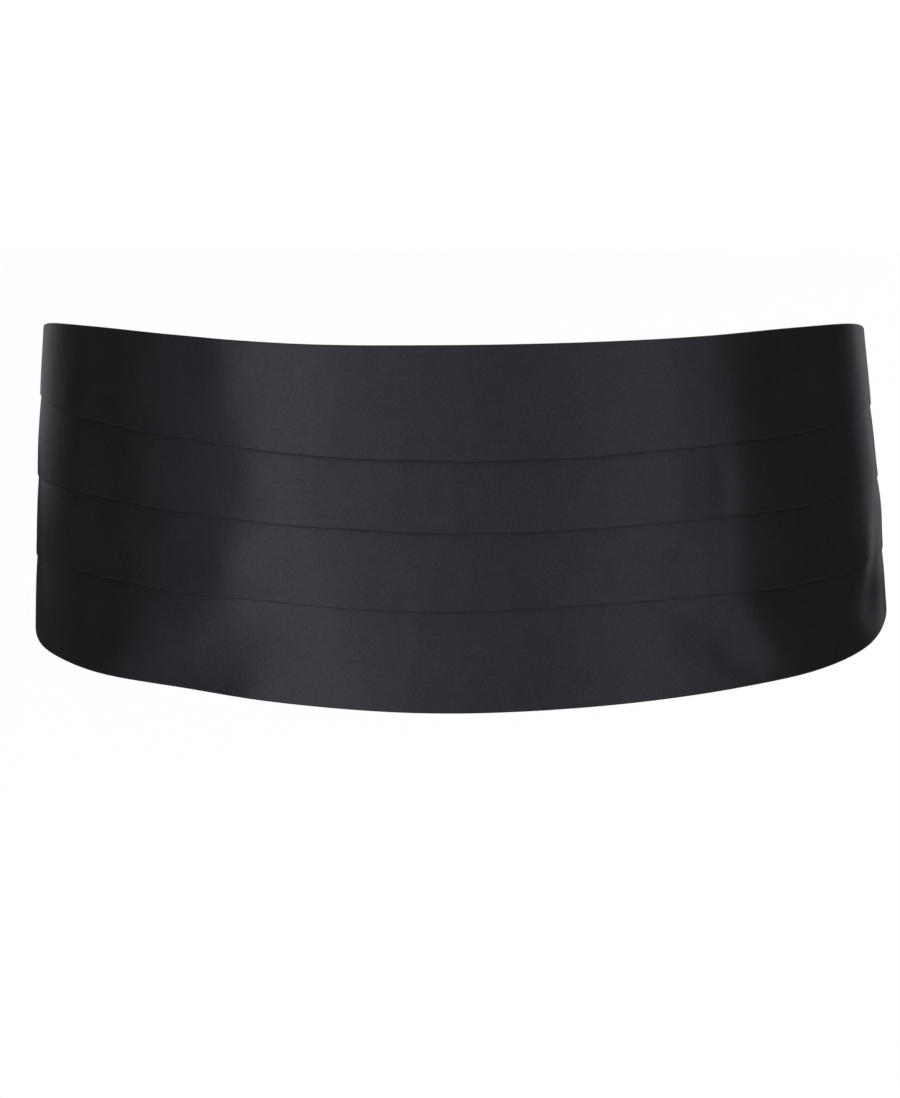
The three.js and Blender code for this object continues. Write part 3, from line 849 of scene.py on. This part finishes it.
fastener_at = Vector((0, float(wrap(HALF_GIRTH, STRAP_Z, FASTENER_Y)[1]), STRAP_Z * MM))


def metal_piece(name, meshes, cad):
    bm = bmesh.new()
    for me in meshes:
        bm.from_mesh(me)
    for v in bm.verts:
        v.co += fastener_at
    me = bpy.data.meshes.new(name)
    bm.to_mesh(me)
    bm.free()
    me.materials.append(METAL)
    o = bpy.data.objects.new(name, me)
    bpy.context.scene.collection.objects.link(o)
    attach(o, "root")
    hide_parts(cad)
    return o


slide_metal = metal_piece("slide_with_hook", [
    plate("slide_plate", SLIDE, [(SLIDE["from"] + SLIDE["bar"], SLIDE_MID - SLIDE["bar"] / 2),
                                 (SLIDE_MID + SLIDE["bar"] / 2, SLIDE["to"] - SLIDE["bar"])], 0.5),
    hook_tongue()], "hook_slide")
ring_metal = metal_piece("wire_ring", [plate("ring_plate", RING, [(RING["from"] + RING["bar"], RING["to"] - RING["bar"])], 0.95)], "ring")


# ------------------------------------------------------------------- stitching
def stitches(name, lines):
    """Short raised stitches along lines of (s, z, out) between two ends; out is the face they lie on."""
    verts, faces = [], []
    rings, sides = 5, 8
    for (s0, z0, o0), (s1, z1, o1), pitch, length, radius, sink in lines:
        span = math.hypot(s1 - s0, z1 - z0)
        n = max(1, int(span / pitch))
        for i in range(n):
            f = (i + 0.5) / n
            jig = 0.12 * math.sin(i * 2.3 + s0)
            s, z, o = s0 + (s1 - s0) * f, z0 + (z1 - z0) * f, o0 + (o1 - o0) * f
            c, c1, c2 = wrap(np.array([s, s + (s1 - s0) / span, s]), np.array([z, z + (z1 - z0) / span, z]),
                             np.array([o, o, o + 1.0]))
            c, c1, c2 = Vector(c), Vector(c1), Vector(c2)
            along, nrm = (c1 - c).normalized(), (c2 - c).normalized() * (1 if sink > 0 else -1)
            across = along.cross(nrm)
            base = len(verts)
            half = (length + jig) / 2 * MM
            for k in range(rings):
                q = -1 + 2 * k / (rings - 1)
                rad = radius * MM * (1 - 0.75 * abs(q) ** 3)
                mid = c + along * half * q + nrm * (radius * 0.55 - abs(sink) * abs(q) ** 4) * MM
                for j in range(sides):
                    a = 2 * math.pi * j / sides
                    verts.append(mid + across * math.cos(a) * rad + nrm * math.sin(a) * rad * 0.8)
            for k in range(rings - 1):
                for j in range(sides):
                    a, b = base + k * sides + j, base + k * sides + (j + 1) % sides
                    faces.append((a, b, b + sides, a + sides))
            faces.append(tuple(base + j for j in reversed(range(sides))))
            faces.append(tuple(base + (rings - 1) * sides + j for j in range(sides)))
    o = mesh_object(name, verts, faces, None, [THREAD])
    bm = bmesh.new()
    bm.from_mesh(o.data)
    bmesh.ops.recalc_face_normals(bm, faces=bm.faces)
    bm.to_mesh(o.data)
    bm.free()
    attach(o, "root")
    return o


def end_lines(side):
    rows = []
    outer = FULL - PRESS + CLOTH + 0.04 + 0.13
    inner = STRAP_OFFSET - STRAP_T / 2
    for back in (2.6, 8.4):
        s = side * (PANEL_END - back)
        up, low = float(AT["top"](np.array([s]))[0]), float(AT["bottom"](np.array([s]))[0])
        rows.append(((s, up - 1.2, outer), (s, low + 1.2, outer), 3.1, 2.3, 0.2, 0.3))
        rows.append(((s, STRAP_Z + 15.6, inner), (s, STRAP_Z - 15.6, inner), 3.1, 2.3, 0.2, -0.3))
    return rows


def box_lines():
    """The box sewn through both layers of the strap behind the ring."""
    bar = -RING["from"] - RING["bar"] / 2
    over = STRAP_OFFSET + LAYER - 0.2 + STRAP_T / 2 - 0.05
    back = over - LAYER - STRAP_T + 0.1
    x0, x1, zz = bar + 9.0, bar + SEWN_BACK - 2.2, 13.8
    rows = []
    for o, sink in ((over, 0.3), (back, -0.3)):
        def at(x, z):
            return (-(HALF_GIRTH - x), STRAP_Z + z, o)
        corners = [at(x0, -zz), at(x1, -zz), at(x1, zz), at(x0, zz)]
        for a, b in zip(corners, corners[1:] + corners[:1]):
            rows.append((a, b, 2.9, 2.1, 0.2, sink))
    return rows


sewn_ends = stitches("stitches_ends", end_lines(-1) + end_lines(1))
sewn_box = stitches("stitches_ring_strap", box_lines())
tail_x = SLIDE_MID + TAIL - 3.0
tail_out = STRAP_OFFSET - LAYER - STRAP_T / 2 + 0.05
sewn_tail = stitches("stitches_tail", [
    ((HALF_GIRTH - tail_x, STRAP_Z + 15.6, tail_out), (HALF_GIRTH - tail_x, STRAP_Z - 15.6, tail_out), 2.9, 2.1, 0.2, -0.3)])


# -------------------------------------------------------------------- the stage
def stage():
    me = bpy.data.meshes.new("floor")
    r = 14.0
    me.from_pydata([(-r, -r, 0), (r, -r, 0), (r, r, 0), (-r, r, 0)], [], [(0, 1, 2, 3)])
    floor = bpy.data.objects.new("floor", me)
    bpy.context.scene.collection.objects.link(floor)
    floor.location = (0, 0, -1.6)
    m, nt, p = new_material("pale_floor")
    n1 = node(nt, "ShaderNodeTexNoise")
    n1.inputs["Scale"].default_value = 3
    nt.links.new(ramp(nt, n1.outputs[0], [(0.3, (0.88, 0.88, 0.88)), (0.7, (0.9, 0.9, 0.9))]), p.inputs["Base Color"])
    p.inputs["Roughness"].default_value = 0.8
    p.inputs["Specular IOR Level"].default_value = 0.1
    me.materials.append(m)
    floor.visible_glossy = False

    w = bpy.data.worlds.new("studio")
    bpy.context.scene.world = w
    w.use_nodes = True
    nt = w.node_tree
    nt.nodes.clear()
    out = nt.nodes.new("ShaderNodeOutputWorld")
    lit = node(nt, "ShaderNodeBackground")
    lit.inputs[0].default_value = (1, 1, 1, 1)
    lit.inputs[1].default_value = 1.15
    # What the cloth reflects besides the soft panels: dim all round, and the pale
    # floor's light well below.
    dim = node(nt, "ShaderNodeBackground")
    dim.inputs[0].default_value = (0.9, 0.9, 1, 1)
    toward = node(nt, "ShaderNodeTexCoord")
    height = node(nt, "ShaderNodeSeparateXYZ")
    nt.links.new(toward.outputs["Generated"], height.inputs[0])
    bounce = node(nt, "ShaderNodeMapRange", interpolation_type="SMOOTHSTEP")
    bounce.inputs[1].default_value, bounce.inputs[2].default_value = -0.42, -0.80
    bounce.inputs[3].default_value, bounce.inputs[4].default_value = 0.012, 0.55
    nt.links.new(height.outputs[2], bounce.inputs[0])
    nt.links.new(bounce.outputs[0], dim.inputs[1])
    path = node(nt, "ShaderNodeLightPath")
    mix = node(nt, "ShaderNodeMixShader")
    nt.links.new(path.outputs["Is Glossy Ray"], mix.inputs[0])
    nt.links.new(lit.outputs[0], mix.inputs[1])
    nt.links.new(dim.outputs[0], mix.inputs[2])
    nt.links.new(mix.outputs[0], out.inputs[0])


VIOLET, COOL, PALE = (0.82, 0.787, 1.0), (0.87, 0.855, 1.0), (0.92, 0.91, 1.0)
PANELS = [
    # Each soft panel stands between two azimuths (from -Y towards +X). Its rows
    # give the level and colour at azimuths across it.
    {"name": "left_panel", "distance": 3.3, "low": -1.5, "high": 2.2, "rows": [
        (-78, 0.0, VIOLET), (-66, 0.12, VIOLET), (-57, 0.24, VIOLET), (-44, 0.32, VIOLET), (-41.5, 0.7, COOL),
        (-34, 1.04, PALE), (-32.5, 1.43, PALE), (-24, 1.44, PALE), (-22, 1.05, VIOLET), (-3, 0.84, VIOLET)]},
    {"name": "right_panel", "distance": 3.3, "low": -1.5, "high": 2.2, "rows": [
        (-3, 0.58, COOL), (4, 0.56, COOL), (13, 0.48, COOL), (22, 0.64, COOL), (30, 0.86, VIOLET),
        (42, 0.86, VIOLET), (44, 0.51, VIOLET), (59, 0.57, COOL), (60.5, 0.0, COOL)]},
    {"name": "rim_right", "distance": 0.8, "low": -0.15, "high": 0.9, "rows": [
        (126, 0.0, PALE), (134, 0.11, PALE), (150, 0.27, PALE), (163, 0.14, PALE), (172, 0.0, PALE)]},
    {"name": "rim_left", "distance": 0.5, "low": -0.05, "high": 0.7, "rows": [
        (-173.8, 0.0, PALE), (-153, 0.18, PALE), (-138.8, 0.26, PALE), (-127, 0.2, PALE), (-114.8, 0.075, PALE),
        (-104.2, 0.0, PALE)]},
]
PEAK = 1.6
FRONT = 0.86  # the front panels' level


def panels():
    for p in PANELS:
        a0, a1 = p["rows"][0][0], p["rows"][-1][0]
        mid, half = math.radians((a0 + a1) / 2), math.radians((a1 - a0) / 2)
        width, height = 2 * p["distance"] * math.tan(half), p["high"] - p["low"]
        l = bpy.data.lights.new(p["name"], "AREA")
        l.shape = "RECTANGLE"
        l.size, l.size_y = width, height
        l.energy = PEAK * math.pi * width * height
        l.use_nodes = True
        nt = l.node_tree
        em = next(n for n in nt.nodes if n.type == "EMISSION")
        geo = node(nt, "ShaderNodeNewGeometry")
        sep = node(nt, "ShaderNodeSeparateXYZ")
        nt.links.new(geo.outputs["Parametric"], sep.inputs[0])
        r = node(nt, "ShaderNodeValToRGB")
        e = r.color_ramp.elements
        rows = []
        for az, level, c in p["rows"]:
            q = 0.5 + 0.5 * math.tan(math.radians(az) - mid) / math.tan(half)
            if p["distance"] > 3:
                level = level * FRONT
            rows.append((1 - q if SOFT_FLIP else q, [x * level / PEAK for x in c]))
        rows.sort(key=lambda x: x[0])
        while len(e) < len(rows):
            e.new(0.5)
        for el, (q, c) in zip(e, rows):
            el.position = min(1, max(0, q))
            el.color = (*c, 1)
        nt.links.new(sep.outputs[0], r.inputs[0])
        nt.links.new(r.outputs[0], em.inputs["Color"])
        o = bpy.data.objects.new(p["name"], l)
        o.visible_camera = False
        bpy.context.scene.collection.objects.link(o)
        pos = Vector((math.sin(mid) * p["distance"], -math.cos(mid) * p["distance"], (p["low"] + p["high"]) / 2))
        o.location = pos
        o.rotation_mode = "QUATERNION"
        o.rotation_quaternion = Vector((-pos.x, -pos.y, 0)).to_track_quat("-Z", "Y")
    for name, az, el, size, level in (("back_high", 180, 48, 1.3, 2.2), ("top", 0, 88, 1.2, 0.5)):
        l = bpy.data.lights.new(name, "AREA")
        l.shape = "SQUARE"
        l.size = size
        l.energy = level * math.pi * size * size
        o = bpy.data.objects.new(name, l)
        o.visible_camera = False
        bpy.context.scene.collection.objects.link(o)
        a, e = math.radians(az), math.radians(el)
        pos = Vector((math.sin(a) * math.cos(e), -math.cos(a) * math.cos(e), math.sin(e))) * 2.6
        o.location = pos
        o.rotation_mode = "QUATERNION"
        o.rotation_quaternion = (-pos).to_track_quat("-Z", "Y")


SOFT_FLIP = False


def camera():
    az, el, dist = math.radians(3), math.radians(9), 2.4
    back = Vector((math.sin(az) * math.cos(el), -math.cos(az) * math.cos(el), math.sin(el)))
    right = Vector((math.cos(az), math.sin(az), 0))
    up = back.cross(right)
    cam = bpy.data.cameras.new("camera")
    cam.sensor_width = 36
    cam.lens = 6363.6 / 1098 * 36
    cam.clip_start, cam.clip_end = 0.1, 60
    o = bpy.data.objects.new("camera", cam)
    bpy.context.scene.collection.objects.link(o)
    o.location = back * dist
    target = right * -0.0029 + up * -0.0247
    d = (o.location - target).normalized()
    x = Vector((0, 0, 1)).cross(d).normalized()
    y = d.cross(x)
    o.rotation_mode = "QUATERNION"
    o.rotation_quaternion = Matrix((x, y, d)).transposed().to_quaternion()
    bpy.context.scene.camera = o


stage()
panels()
camera()
bpy.context.scene.view_settings.view_transform = "Standard"
bpy.context.scene.view_settings.look = "None"
